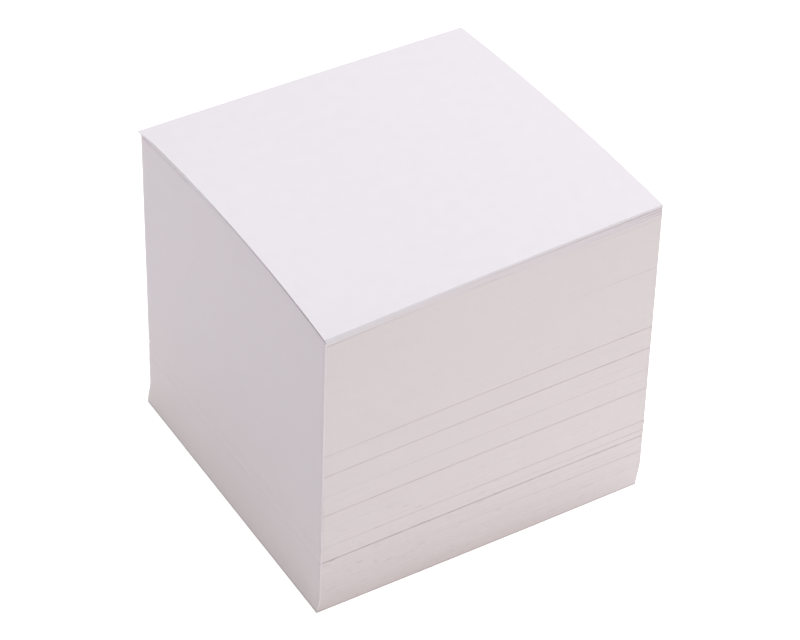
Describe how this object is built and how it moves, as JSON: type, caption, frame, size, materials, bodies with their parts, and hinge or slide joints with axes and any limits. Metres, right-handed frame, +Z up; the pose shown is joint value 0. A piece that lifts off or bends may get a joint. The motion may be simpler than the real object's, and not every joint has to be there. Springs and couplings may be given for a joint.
{
  "type": "memo cube",
  "caption": "Block of loose white note sheets, glued along one side into a cube that stands on a desk.",
  "frame": {"origin": "middle of the whole footprint, on the surface that the block stands on", "axes": "+Z up through the sheets, -X towards the glued side, -Y towards the front"},
  "size_m": [0.0944, 0.0903, 0.085],
  "materials": {
    "paper": "uncoated white writing paper, matte, with fine cut edges",
    "padding_glue": "thin white film of dried padding glue, smooth with a slight sheen"
  },
  "bodies": {
    "root": {"paper_block": "paper", "glue_film": "padding_glue"}
  },
  "joints": []
}
